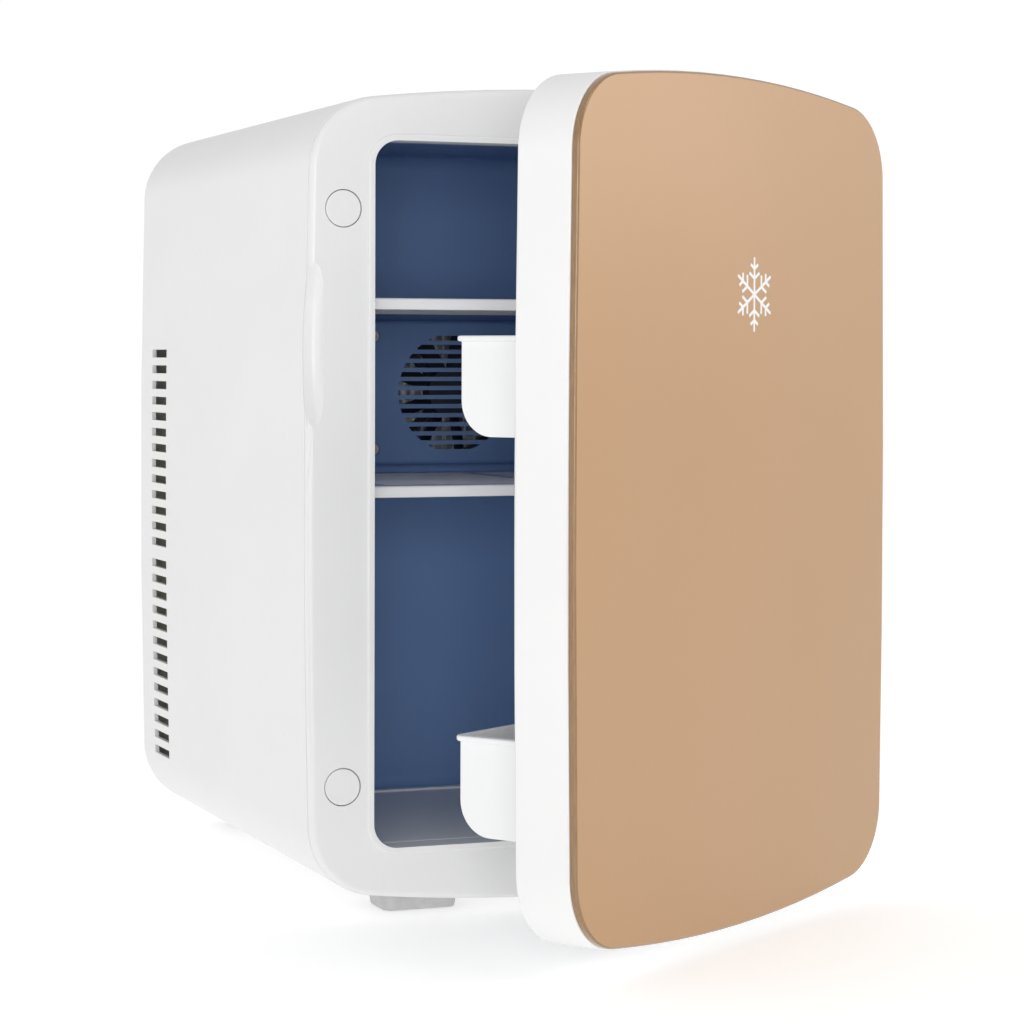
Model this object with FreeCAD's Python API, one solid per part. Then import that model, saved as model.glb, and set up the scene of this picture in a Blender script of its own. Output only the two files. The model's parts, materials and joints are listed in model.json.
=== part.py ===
import FreeCAD, Part
import math
import os

os.makedirs("parts", exist_ok=True)

# Counter-top thermoelectric fridge of about ten litres. Millimetres, +Z up, the door faces -Y.
# The origin lies on the floor under the middle of the cabinet.

# Cabinet
WIDTH = 238.0
HEIGHT = 335.0
DEPTH = 284.0
FOOT_HEIGHT = 5.0
TOP_RISE = 9.3
SIDE_RISE = 2.7
CORNER_R = 30.0
REAR_ROUND = 14.0
SHELL_WALL = 2.0
REAR_WALL = 2.4
FRONT_Y = -DEPTH / 2
BACK_Y = DEPTH / 2
MID_Z = FOOT_HEIGHT + HEIGHT / 2

# Front frame round the opening
FRAME_THICKNESS = 3.0
FRAME_GAP = 0.25
FRAME_ROUND = 2.6
SHELL_FRONT_Y = FRONT_Y + FRAME_THICKNESS
SKIRT_BACK_Y = FRONT_Y + 12.0
OPENING_HALF = 90.3
OPENING_LOW = 29.8
OPENING_HIGH = 316.8
OPENING_R = 10.0
LIP_WIDTH = 2.7
LIP_HEIGHT = 1.0
COLLAR_WALL = 1.8
COLLAR_BACK_Y = FRONT_Y + 12.0

# Scooped finger grip in the latch-side edge
GRIP_Z = 234.0
GRIP_HALF = 33.0
GRIP_SIDE = 7.4
GRIP_FRONT = 5.5
GRIP_COVE_R = 4.0
GRIP_RIM = 0.7
GRIP_FILL_X = -106.0
GRIP_FILL_HALF = 42.0
GRIP_FILL_DEPTH = 15.0

# Round magnet covers in the frame, and the magnets behind them
LATCH_X = -103.4
LATCH_LEVELS = {"upper": 288.9, "lower": 55.6}
COVER_R = 7.4
COVER_GAP = 0.35
COVER_THICKNESS = 3.2
MAGNET_R = 6.0
MAGNET_THICKNESS = 3.5

# Side vents
VENT_Y0 = 81.0
VENT_Y1 = 108.0
VENT_HEIGHT = 3.8
VENT_PITCH = 7.5
VENT_COUNT = 13
VENT_GROUP_TOPS = (230.3, 130.0)

# Liner
LINER_HALF = 94.0
LINER_LOW = 27.0
LINER_HIGH = 322.0
LINER_WALL = 1.5
LINER_R = 8.0
LINER_BACK_Y = 20.0
FLANGE_WIDTH = 3.0
TRAY_EDGE = 4.0
TRAY_WELL = 1.0

# Shelves on ledges
SHELF_HALF = 89.6
SHELF_FRONT_Y = FRONT_Y + 14.0
SHELF_BACK_Y = 7.5
SHELF_THICKNESS = 4.8
SHELF_BOTTOMS = {"upper": 248.6, "lower": 171.4}
LEDGE_WIDTH = 8.0
LEDGE_THICKNESS = 3.0
LEDGE_GAP = 0.1
SHELF_SKIN = 2.6
SHELF_EDGE = 8.0
SHELF_SLOT = 3.6
SHELF_SLOT_PITCH = 9.0
SHELF_SLOT_REACH = 76.0
SHELF_SPINE_HALF = 3.0
SHELF_LIP_R = 1.3

# Cooling stack through the back wall
STACK_Z = 212.6
FOAM_FRONT_Y = -125.5
FOAM_BACK_Y = 50.0
POCKET_HALF = 33.0
POCKET_BACK_Y = 39.0
SPACER_HALF = 20.0
GASKET_HALF = 35.0
PELTIER_THICKNESS = 3.8
PELTIER_Y = FOAM_BACK_Y - 1.0
HOT_SINK_Y = PELTIER_Y + PELTIER_THICKNESS
HOT_SINK_HALF = 55.0
HOT_SINK_BASE = 6.0
HOT_SINK_FIN = 30.0
HOT_FIN_PITCH = 5.5
COLD_SINK_HALF = 30.0
COLD_SINK_BASE = 4.0
COLD_FIN_Y = 24.0
COLD_FIN_PITCH = 5.3
CLAMP_X = 25.5
FAN_COVER_Y = 9.5
FAN_COVER_HALF_X = 45.0
FAN_COVER_HALF_Z = 33.3
FAN_COVER_WINDOW_R = 27.5
FAN_COVER_PITCH = 4.2
FAN_COVER_SLOT = 2.2
SENSOR_X = 80.0
SENSOR_R = 3.0
SENSOR_Z0 = 246.0
SENSOR_Z1 = 261.0
CUTOFF_X = 40.0
CUTOFF_Z = STACK_Z + 16.5
CUTOFF_R = 7.5

# Fans: the square housing, and the rotor that turns in it
COLD_FAN = {
    "size": 60.0, "y0": 12.0, "y1": 22.5, "duct_r": 28.0, "mount_r": 11.0, "mount_depth": 2.5,
    "hole_half": 25.5, "rotor_y0": 12.6, "rotor_y1": 19.2, "blade_r": 27.0, "hub_r": 11.5, "blades": 9,
}
HOT_FAN = {
    "size": 80.0, "y0": 89.5, "y1": 114.5, "duct_r": 38.0, "mount_r": 13.0, "mount_depth": 4.0,
    "hole_half": 35.75, "rotor_y0": 91.5, "rotor_y1": 109.7, "blade_r": 36.8, "hub_r": 14.0, "blades": 7,
}
FAN_SHAFT_R = 1.5
FAN_HOLE_R = 2.0
BLADE_PITCH_DEG = 48

# Rear cover
COVER_INSET = 20.0
COVER_CLEARANCE = 0.4
STEP_DEPTH = 2.4
STEP_WIDTH = 9.0
REAR_SCREW_INSET = 5.0
REAR_SCREW_SPREAD = 66.0
GRILLE_R = 42.0
GRILLE_PITCH = 7.6
GRILLE_SLOT = 4.0
SOCKET_Z = 70.0
AC_X = 45.0
DC_X = 6.0
SWITCH_X = -36.0
INDICATOR_X = -64.0
SWITCH_PIVOT_Y = BACK_Y - 3.0
SWITCH_BODY = (10.5, 6.5)
INLET_CLEARANCE = 0.2
LENS_R = 2.2

# Power sockets, given as half sizes across x and z
AC_INLET = {
    "flange": (15.0, 11.0), "body": (12.5, 8.5), "cave": (10.0, 6.0), "depth": 14.0,
    "pin_x": 4.3, "pin_r": 1.2,
}
DC_SOCKET = {
    "flange": (11.5, 9.0), "body": (9.0, 6.5), "cave": (7.0, 4.5), "depth": 12.0,
    "pin_x": 3.6, "pin_r": 1.0,
}

# Power board on its tray
BOARD_Y = 87.5
BOARD_HALF_X = 50.0
BOARD_HALF_Y = 27.5
BOARD_Z = 22.0
BOARD_TOP = BOARD_Z + 1.6
TRAY_HALF_X = 58.0
TRAY_HALF_Y = 31.5
TRAY_Z = 14.0

# Door, drawn closed and then swung to its rest angle
DOOR_GAP = 0.4
DOOR_SHELL = 24.0
GLASS_THICKNESS = 3.0
GLASS_INSET = 0.5
DOOR_WALL = 2.4
DOOR_REST_DEG = 33.6
DOOR_BACK_Y = FRONT_Y - DOOR_GAP
DOOR_FRONT_Y = DOOR_BACK_Y - DOOR_SHELL
DOOR_LINER_Y = DOOR_BACK_Y - 2.0
DOOR_LINER_THICKNESS = 2.0
DOOR_CAVITY_RIGHT = 93.5
DOOR_SCREWS = ((-98, 40), (-98, 305), (82, 105), (82, 262))

# Hinge
HINGE_X = 107.5
HINGE_Y = -138.2
HINGE_LEVELS = {"upper": 292.0, "lower": 53.0}
HINGE_CLEAR_R = 12.0
HINGE_BEVEL_DEG = -10.0
LUG_R = 6.0
LUG_HALF = 6.0
PIN_R = 2.0
PIN_HALF = 14.0
BUSH_R = 3.5
RUNNING_GAP = 0.05
NOTCH_HALF = LUG_HALF + 0.3
NOTCH_BACK_Y = FRONT_Y + 12.0
HINGE_BLOCK_HALF = 15.5
HINGE_BLOCK_X = HINGE_X - 9.5
NOTCH_X = HINGE_X - LUG_R - 0.5

# Door bins
BIN_HALF = 80.0
BIN_FRONT_Y = FRONT_Y + 51.5
BIN_BACK_Y = FRONT_Y + 3.0
BIN_HEIGHT = 39.0
BIN_WALL = 1.8
BIN_RIM = 2.5
BIN_RIM_THICKNESS = 2.2
BIN_BOTTOMS = {"upper": 198.6, "lower": 44.0}
BIN_TOE_R = 14.0
BIN_RIM_R = 0.8
HOOK_HALF = 70.0
HOOK_DROP = 6.6

# Feet
FOOT_X = 63.0
FOOT_Y = 112.0
FOOT_LENGTH = 36.0
FOOT_WIDTH = 26.0
FOOT_TAPER = 2.2
FOOT_CORNER_R = 6.0
FOOT_RECESS_R = 3.4
FOOT_RECESS = 2.6
FOOT_EDGE_R = 1.0

HALF_W = WIDTH / 2
HALF_H = HEIGHT / 2
TOP_R = (HALF_W**2 + TOP_RISE**2) / (2 * TOP_RISE)
SIDE_R = (HALF_H**2 + SIDE_RISE**2) / (2 * SIDE_RISE)
Y_AXIS = FreeCAD.Vector(0, 1, 0)
Z_AXIS = FreeCAD.Vector(0, 0, 1)


# ---- shared shapes ----------------------------------------------------------

def vec(x, y, z):
    return FreeCAD.Vector(x, y, z)


def box(x0, x1, y0, y1, z0, z1):
    return Part.makeBox(x1 - x0, y1 - y0, z1 - z0, vec(x0, y0, z0))


def rod_y(radius, x, z, y0, y1):
    return Part.makeCylinder(radius, y1 - y0, vec(x, y0, z), Y_AXIS)


def rod_z(radius, x, y, z0, z1):
    return Part.makeCylinder(radius, z1 - z0, vec(x, y, z0), Z_AXIS)


def fuse_all(shapes):
    return shapes[0].multiFuse(shapes[1:]).removeSplitter()


def save(name, *solids):
    shape = solids[0] if len(solids) == 1 else Part.makeCompound(list(solids))
    shape.exportStep(f"parts/{name}.step")


def rounded_block(x0, x1, y0, y1, z0, z1, radius):
    """Box whose four edges along Y are rounded."""
    block = box(x0, x1, y0, y1, z0, z1)
    edges = [e for e in block.Edges if abs(e.tangentAt(e.FirstParameter).y) > 0.99]
    return block.makeFillet(radius, edges)


def edges_at_y(shape, y):
    """Edges that lie wholly in the plane at y."""
    found = []
    for edge in shape.Edges:
        bounds = edge.BoundBox
        if abs(bounds.YMin - y) < 0.01 and abs(bounds.YMax - y) < 0.01:
            found.append(edge)
    return found


def corner_centre():
    """Centre of the corner arc that is tangent to both the top arc and the side arc."""
    top_z = HALF_H - TOP_R
    side_x = HALF_W - SIDE_R
    to_top = TOP_R - CORNER_R
    to_side = SIDE_R - CORNER_R
    apart = math.hypot(side_x, top_z)
    along = (to_top**2 - to_side**2 + apart**2) / (2 * apart)
    across = math.sqrt(to_top**2 - along**2)
    ux = side_x / apart
    uz = -top_z / apart
    return vec(along * ux + across * uz, 0, top_z + along * uz - across * ux)


def arched_wire(inset, y):
    """Closed outline of the cabinet front, set in by inset: four shallow arches and four corners."""
    centre = corner_centre()
    radius = CORNER_R - inset
    to_top = (centre - vec(0, 0, HALF_H - TOP_R)).normalize()
    to_side = (centre - vec(HALF_W - SIDE_R, 0, 0)).normalize()
    top = centre + to_top * radius
    side = centre + to_side * radius
    middle = centre + (to_top + to_side).normalize() * radius
    crown = HALF_H - inset
    flank = HALF_W - inset

    def arc(*points):
        return Part.Arc(*[vec(x, y, MID_Z + z) for x, z in points]).toShape()

    edges = [
        arc((-top.x, top.z), (0, crown), (top.x, top.z)),
        arc((top.x, top.z), (middle.x, middle.z), (side.x, side.z)),
        arc((side.x, side.z), (flank, 0), (side.x, -side.z)),
        arc((side.x, -side.z), (middle.x, -middle.z), (top.x, -top.z)),
        arc((top.x, -top.z), (0, -crown), (-top.x, -top.z)),
        arc((-top.x, -top.z), (-middle.x, -middle.z), (-side.x, -side.z)),
        arc((-side.x, -side.z), (-flank, 0), (-side.x, side.z)),
        arc((-side.x, side.z), (-middle.x, middle.z), (-top.x, top.z)),
    ]
    return Part.Wire(edges)


def arched_block(inset, y0, y1):
    """Solid with the arched outline, from y0 to y1."""
    return Part.Face(arched_wire(inset, y0)).extrude(vec(0, y1 - y0, 0))


def rounded_rim(shape, y, radius):
    return shape.makeFillet(radius, edges_at_y(shape, y))


def grip_cutter(extra):
    """Large disc that scoops the latch-side front edge: round on the side, straight on the front."""
    radius = (GRIP_HALF**2 + GRIP_FRONT**2) / (2 * GRIP_FRONT)
    start = vec(-HALF_W - 10, FRONT_Y + GRIP_FRONT - radius, GRIP_Z)
    disc = Part.makeCylinder(radius + extra, 10 + GRIP_SIDE + extra, start, vec(1, 0, 0))
    deep_edge = [e for e in disc.Edges if e.BoundBox.XMin > -HALF_W]
    return disc.makeFillet(GRIP_COVE_R + extra, deep_edge)


def hinge_notch(z):
    """Pocket in the hinge-side front edge in which a door lug swings."""
    return box(NOTCH_X, HALF_W + 3, FRONT_Y - 2, NOTCH_BACK_Y, z - NOTCH_HALF, z + NOTCH_HALF)


def screw(x, y, z, direction, length, shank_r=1.5, head_r=2.8, head_height=1.6):
    """Pan-head screw: its head's underside is at the point, the shank runs along direction."""
    point = vec(x, y, z)
    head = Part.makeCylinder(head_r, head_height, point - direction * head_height, direction)
    slot = Part.makeBox(head_r * 1.4, 0.7, 0.7, vec(-head_r * 0.7, -0.35, -0.35))
    cross = slot.fuse(slot.copy().rotate(vec(0, 0, 0), Z_AXIS, 90))
    cross.Placement = FreeCAD.Placement(
        point - direction * head_height, FreeCAD.Rotation(Z_AXIS, direction)
    )
    shank = Part.makeCylinder(shank_r, length, point, direction)
    return head.fuse(shank).cut(cross).removeSplitter()


def on_door(shape):
    """Swing a closed-door shape to the door's rest angle."""
    opened = shape.copy()
    opened.rotate(vec(HINGE_X, HINGE_Y, 0), Z_AXIS, DOOR_REST_DEG)
    return opened


def fan_housing(fan):
    """Square fan frame with a round duct, a motor mount on four struts and corner holes."""
    half = fan["size"] / 2
    y0 = fan["y0"]
    y1 = fan["y1"]
    mount_y = y1 - fan["mount_depth"]
    frame = rounded_block(-half, half, y0, y1, STACK_Z - half, STACK_Z + half, 4.0)
    pieces = [frame.cut(rod_y(fan["duct_r"], 0, STACK_Z, y0 - 1, y1 + 1))]
    pieces.append(rod_y(fan["mount_r"], 0, STACK_Z, mount_y, y1))
    strut_half = 1.6
    for angle in (45, 135, 225, 315):
        strut = box(
            fan["mount_r"] - 1, fan["duct_r"] + 1, mount_y, y1, STACK_Z - strut_half, STACK_Z + strut_half
        )
        strut.rotate(vec(0, 0, STACK_Z), Y_AXIS, angle)
        pieces.append(strut)
    housing = fuse_all(pieces)
    housing = housing.cut(rod_y(FAN_SHAFT_R + RUNNING_GAP, 0, STACK_Z, mount_y - 1, y1 - 0.8))
    for x, z in fan_hole_places(fan):
        housing = housing.cut(rod_y(FAN_HOLE_R, x, z, y0 - 1, y1 + 1))
    return housing


def fan_hole_places(fan):
    reach = fan["hole_half"]
    return [(sx * reach, STACK_Z + sz * reach) for sx in (-1, 1) for sz in (-1, 1)]


def fan_rotor(fan):
    """Hub with pitched blades and a short shaft that runs in the motor mount."""
    y0 = fan["rotor_y0"]
    y1 = fan["rotor_y1"]
    chord = (y1 - y0) * 1.15
    pieces = [rod_y(fan["hub_r"], 0, STACK_Z, y0, y1)]
    for i in range(fan["blades"]):
        blade = box(fan["hub_r"] - 1.5, fan["blade_r"] + 4, -chord / 2, chord / 2, -0.6, 0.6)
        blade.rotate(vec(0, 0, 0), vec(1, 0, 0), BLADE_PITCH_DEG)
        blade.translate(vec(0, (y0 + y1) / 2, STACK_Z))
        blade.rotate(vec(0, 0, STACK_Z), Y_AXIS, 360 * i / fan["blades"])
        pieces.append(blade)
    rotor = fuse_all(pieces).common(rod_y(fan["blade_r"], 0, STACK_Z, y0, y1))
    shaft = rod_y(FAN_SHAFT_R, 0, STACK_Z, y1 - 1, fan["y1"] - 1.2)
    return rotor.fuse(shaft).removeSplitter()


# ---- cabinet ----------------------------------------------------------------

def outer_shell():
    inner_back = BACK_Y - REAR_WALL
    outside = rounded_rim(arched_block(0, SHELL_FRONT_Y, BACK_Y), BACK_Y, REAR_ROUND)
    inside = arched_block(SHELL_WALL, SHELL_FRONT_Y, inner_back)
    inside = rounded_rim(inside, inner_back, REAR_ROUND - SHELL_WALL)
    shell = outside.cut(inside)
    step = arched_block(COVER_INSET - 3.5, inner_back - STEP_DEPTH, inner_back)
    step = step.cut(arched_block(COVER_INSET + STEP_WIDTH, inner_back - STEP_DEPTH, inner_back))
    shell = shell.fuse(step)
    shell = shell.cut(arched_block(COVER_INSET, inner_back, BACK_Y + 1))
    slots = []
    for group_top in VENT_GROUP_TOPS:
        for i in range(VENT_COUNT):
            low = group_top - i * VENT_PITCH - VENT_HEIGHT / 2
            for x0, x1 in ((-HALF_W - 2, -HALF_W + 10), (HALF_W - 10, HALF_W + 2)):
                slots.append(box(x0, x1, VENT_Y0, VENT_Y1, low, low + VENT_HEIGHT))
    shell = shell.cut(Part.makeCompound(slots))
    shell = shell.cut(grip_cutter(GRIP_RIM + FRAME_GAP))
    for z in HINGE_LEVELS.values():
        shell = shell.cut(hinge_notch(z))
    for x, y in foot_places():
        shell = shell.cut(rod_z(1.5, x, y, 0, 16))
    for x, z in rear_screw_places():
        shell = shell.cut(rod_y(1.5, x, z, inner_back - STEP_DEPTH - 1, BACK_Y))
    return shell.removeSplitter()


def front_frame():
    plate = arched_block(FRAME_GAP, FRONT_Y, SHELL_FRONT_Y - 0.1)
    plate = rounded_rim(plate, FRONT_Y, FRAME_ROUND)
    skirt = arched_block(SHELL_WALL + FRAME_GAP, FRONT_Y + 1, SKIRT_BACK_Y)
    skirt = skirt.cut(arched_block(SHELL_WALL + FRAME_GAP + 2, FRONT_Y, SKIRT_BACK_Y + 1))
    lip = rounded_block(
        -OPENING_HALF - LIP_WIDTH, OPENING_HALF + LIP_WIDTH, FRONT_Y - LIP_HEIGHT, COLLAR_BACK_Y,
        OPENING_LOW - LIP_WIDTH, OPENING_HIGH + LIP_WIDTH, OPENING_R + LIP_WIDTH,
    )
    lip = lip.makeFillet(0.8, edges_at_y(lip, FRONT_Y - LIP_HEIGHT))
    behind = rounded_block(
        -OPENING_HALF - 20, OPENING_HALF + 20, FRONT_Y + 1, COLLAR_BACK_Y + 1,
        OPENING_LOW - 20, OPENING_HIGH + 20, 20.0,
    )
    collar = rounded_block(
        -OPENING_HALF - COLLAR_WALL, OPENING_HALF + COLLAR_WALL, FRONT_Y, COLLAR_BACK_Y + 2,
        OPENING_LOW - COLLAR_WALL, OPENING_HIGH + COLLAR_WALL, OPENING_R + COLLAR_WALL,
    )
    lip = lip.cut(behind.cut(collar))
    frame = fuse_all([plate, skirt, lip])
    # solid fill of the grip: inside the shell, and out to the shell's surface in the notch
    fill_y1 = FRONT_Y + GRIP_FILL_DEPTH
    inner_fill = arched_block(SHELL_WALL + FRAME_GAP, FRONT_Y + 1, fill_y1)
    inner_fill = inner_fill.common(
        box(-HALF_W, GRIP_FILL_X, FRONT_Y, fill_y1 + 1, GRIP_Z - GRIP_FILL_HALF, GRIP_Z + GRIP_FILL_HALF)
    )
    outer_fill = arched_block(FRAME_GAP, FRONT_Y + 1, fill_y1).common(grip_cutter(GRIP_RIM))
    frame = fuse_all([frame, inner_fill, outer_fill]).cut(grip_cutter(0))
    for z in HINGE_LEVELS.values():
        block = arched_block(SHELL_WALL + FRAME_GAP, FRONT_Y + 1, NOTCH_BACK_Y + 3)
        block = block.common(
            box(HINGE_BLOCK_X, HALF_W, FRONT_Y, NOTCH_BACK_Y + 3, z - HINGE_BLOCK_HALF, z + HINGE_BLOCK_HALF)
        )
        frame = frame.fuse(block).cut(hinge_notch(z))
        frame = frame.cut(rod_z(PIN_R, HINGE_X, HINGE_Y, z - PIN_HALF, z + PIN_HALF))
    for z in LATCH_LEVELS.values():
        cup_y1 = FRONT_Y + COVER_THICKNESS + MAGNET_THICKNESS + 1.0
        frame = frame.fuse(rod_y(COVER_R + COVER_GAP + 1.5, LATCH_X, z, FRONT_Y + 2, cup_y1))
        seat_y = FRONT_Y + COVER_THICKNESS
        frame = frame.cut(rod_y(COVER_R + COVER_GAP, LATCH_X, z, FRONT_Y - 1, seat_y))
        frame = frame.cut(rod_y(MAGNET_R, LATCH_X, z, seat_y - 1, seat_y + MAGNET_THICKNESS))
    opening = rounded_block(
        -OPENING_HALF, OPENING_HALF, FRONT_Y - 3, COLLAR_BACK_Y + 3, OPENING_LOW, OPENING_HIGH, OPENING_R
    )
    return frame.cut(opening).removeSplitter()


def magnet_cover(z):
    cover = rod_y(COVER_R, LATCH_X, z, FRONT_Y, FRONT_Y + COVER_THICKNESS)
    return cover.makeFillet(0.5, edges_at_y(cover, FRONT_Y))


def frame_magnet(z):
    seat_y = FRONT_Y + COVER_THICKNESS
    return rod_y(MAGNET_R, LATCH_X, z, seat_y, seat_y + MAGNET_THICKNESS)


def liner_pocket(grow, y0, y1):
    size = POCKET_HALF + grow
    return rounded_block(-size, size, y0, y1, STACK_Z - size, STACK_Z + size, 3.0 + grow)


def inner_liner():
    wall = LINER_WALL
    front_y = COLLAR_BACK_Y + 0.1
    outside = rounded_block(
        -LINER_HALF - wall, LINER_HALF + wall, front_y, LINER_BACK_Y + wall,
        LINER_LOW - wall, LINER_HIGH + wall, LINER_R + wall,
    )
    outside = outside.makeFillet(LINER_R + wall, edges_at_y(outside, LINER_BACK_Y + wall))
    inside = rounded_block(
        -LINER_HALF, LINER_HALF, front_y, LINER_BACK_Y, LINER_LOW, LINER_HIGH, LINER_R,
    )
    inside = inside.makeFillet(LINER_R - 0.5, edges_at_y(inside, LINER_BACK_Y))
    flange = rounded_block(
        -LINER_HALF - FLANGE_WIDTH, LINER_HALF + FLANGE_WIDTH, front_y, front_y + wall,
        LINER_LOW - FLANGE_WIDTH, LINER_HIGH + FLANGE_WIDTH, LINER_R + FLANGE_WIDTH,
    )
    mouth = rounded_block(
        -OPENING_HALF - 1, OPENING_HALF + 1, front_y, front_y + wall,
        OPENING_LOW - 1, OPENING_HIGH + 1, OPENING_R + 1,
    )
    liner = outside.cut(inside).fuse(flange.cut(mouth))
    liner = liner.fuse(liner_pocket(wall, LINER_BACK_Y, POCKET_BACK_Y + wall))
    liner = liner.cut(liner_pocket(0, LINER_BACK_Y - 1, POCKET_BACK_Y))
    ledges = []
    for bottom in SHELF_BOTTOMS.values():
        top = bottom - LEDGE_GAP
        for side in (-1, 1):
            x0, x1 = sorted((side * (LINER_HALF - LEDGE_WIDTH), side * (LINER_HALF + 0.5)))
            ledges.append(box(x0, x1, SHELF_FRONT_Y + 8, 10, top - LEDGE_THICKNESS, top))
    liner = fuse_all([liner] + ledges)
    liner = liner.cut(square_block(SPACER_HALF + 0.3, POCKET_BACK_Y - 1, POCKET_BACK_Y + 3))
    for x in (-CLAMP_X, CLAMP_X):
        liner = liner.cut(rod_y(1.8, x, STACK_Z, POCKET_BACK_Y - 1, POCKET_BACK_Y + 3))
    for x, z in fan_cover_screw_places():
        liner = liner.cut(rod_y(1.3, x, z, LINER_BACK_Y - 1, LINER_BACK_Y + 3))
    return liner.removeSplitter()


def floor_tray():
    low = LINER_LOW + 0.1
    top = OPENING_LOW - 0.2
    half = LINER_HALF - LINER_R + 0.5
    tray = box(-half, half, COLLAR_BACK_Y + 2, LINER_BACK_Y - 9, low, top)
    well = box(
        -half + TRAY_EDGE, half - TRAY_EDGE, COLLAR_BACK_Y + 2 + TRAY_EDGE, LINER_BACK_Y - 9 - TRAY_EDGE,
        top - TRAY_WELL, top + 1,
    )
    return tray.cut(well)


def insulation_foam():
    clear = 0.3
    foam = arched_block(SHELL_WALL + 0.5, FOAM_FRONT_Y, FOAM_BACK_Y)
    wall = LINER_WALL + clear
    core = rounded_block(
        -LINER_HALF - wall, LINER_HALF + wall, FOAM_FRONT_Y - 1, LINER_BACK_Y + wall,
        LINER_LOW - wall, LINER_HIGH + wall, LINER_R + wall,
    )
    foam = foam.cut(core).cut(liner_pocket(wall, LINER_BACK_Y, POCKET_BACK_Y + wall))
    foam = foam.cut(square_block(SPACER_HALF + clear, POCKET_BACK_Y, FOAM_BACK_Y + 1))
    for x in (-CLAMP_X, CLAMP_X):
        foam = foam.cut(rod_y(2.0, x, STACK_Z, POCKET_BACK_Y, FOAM_BACK_Y + 1))
    foam = foam.cut(square_block(GASKET_HALF + 0.2, PELTIER_Y, FOAM_BACK_Y + 1))
    pocket_half = SENSOR_R + 0.4
    return foam.cut(box(
        SENSOR_X - pocket_half, SENSOR_X + pocket_half,
        LINER_BACK_Y, LINER_BACK_Y + LINER_WALL + 2 * pocket_half, SENSOR_Z0 - 1, SENSOR_Z1 + 1,
    ))


def foot_places():
    return [(sx * FOOT_X, sy * FOOT_Y) for sy in (-1, 1) for sx in (-1, 1)]


def foot(x, y):
    def outline(shrink, z):
        half_x = FOOT_LENGTH / 2 - shrink
        half_y = FOOT_WIDTH / 2 - shrink
        plate = Part.makeBox(2 * half_x, 2 * half_y, 1, vec(x - half_x, y - half_y, z))
        upright = [e for e in plate.Edges if abs(e.tangentAt(e.FirstParameter).z) > 0.99]
        plate = plate.makeFillet(FOOT_CORNER_R - shrink, upright)
        faces = [f for f in plate.Faces if abs(f.CenterOfMass.z - z) < 0.01]
        return faces[0].OuterWire

    body = Part.makeLoft([outline(FOOT_TAPER, 0), outline(0, 13)], True)
    body = body.makeFillet(FOOT_EDGE_R, [e for e in body.Edges if e.BoundBox.ZMax < 0.01])
    body = body.cut(arched_block(0, SHELL_FRONT_Y, BACK_Y))
    body = body.cut(rod_z(FOOT_RECESS_R, x, y, -1, FOOT_RECESS))
    return body.cut(rod_z(1.5, x, y, 0, 16))


def foot_screws():
    return [screw(x, y, FOOT_RECESS, Z_AXIS, 7.0, head_height=1.4) for x, y in foot_places()]


# ---- shelves ----------------------------------------------------------------

def shelf(bottom):
    top = bottom + SHELF_THICKNESS
    plate = box(-SHELF_HALF, SHELF_HALF, SHELF_FRONT_Y, SHELF_BACK_Y, bottom, top)
    under = box(
        -SHELF_HALF + SHELF_EDGE, SHELF_HALF - SHELF_EDGE, SHELF_FRONT_Y + 6, SHELF_BACK_Y - 5,
        bottom - 1, top - SHELF_SKIN,
    )
    plate = plate.cut(under)
    corners = [e for e in plate.Edges if abs(e.tangentAt(e.FirstParameter).z) > 0.99
               and abs(abs(e.BoundBox.Center.x) - SHELF_HALF) < 0.01]
    plate = plate.makeFillet(3.0, corners)
    lip_edges = [e for e in edges_at_y(plate, SHELF_FRONT_Y) if e.BoundBox.ZMin > bottom + 1]
    plate = plate.makeFillet(SHELF_LIP_R, lip_edges)
    slots = []
    y = SHELF_FRONT_Y + 14
    while y + SHELF_SLOT < SHELF_BACK_Y - 10:
        for side in (-1, 1):
            x0, x1 = sorted((side * SHELF_SPINE_HALF, side * SHELF_SLOT_REACH))
            slots.append(box(x0, x1, y, y + SHELF_SLOT, bottom - 1, top + 1))
        y += SHELF_SLOT_PITCH
    return plate.cut(Part.makeCompound(slots))


# ---- cooling stack ----------------------------------------------------------

def fan_cover_screw_places():
    return [(sx * 39.0, STACK_Z + sz * 26.0) for sx in (-1, 1) for sz in (-1, 1)]


def inner_fan_cover():
    y0 = FAN_COVER_Y
    y1 = LINER_BACK_Y + 1
    cover = rounded_block(
        -FAN_COVER_HALF_X, FAN_COVER_HALF_X, y0, LINER_BACK_Y,
        STACK_Z - FAN_COVER_HALF_Z, STACK_Z + FAN_COVER_HALF_Z, 6.0,
    )
    cover = cover.makeFillet(2.0, edges_at_y(cover, y0))
    cover = cover.cut(square_block(COLD_FAN["size"] / 2 + 1, y0 + 2, y1))
    slots = []
    for i in range(-6, 7):
        low = STACK_Z + i * FAN_COVER_PITCH - FAN_COVER_SLOT / 2
        slots.append(box(-30, 30, y0 - 1, y0 + 3, low, low + FAN_COVER_SLOT))
    window = rod_y(FAN_COVER_WINDOW_R, 0, STACK_Z, y0 - 1, y0 + 3)
    cover = cover.cut(Part.makeCompound(slots).common(window))
    for x, z in fan_cover_screw_places():
        cover = cover.cut(rod_y(1.3, x, z, y0 - 1, y1)).cut(rod_y(2.6, x, z, y0 - 1, y0 + 2))
    return cover


def inner_fan_cover_screws():
    return [screw(x, FAN_COVER_Y + 2, z, Y_AXIS, 10.0, 1.3, 2.4, 1.4) for x, z in fan_cover_screw_places()]


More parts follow.
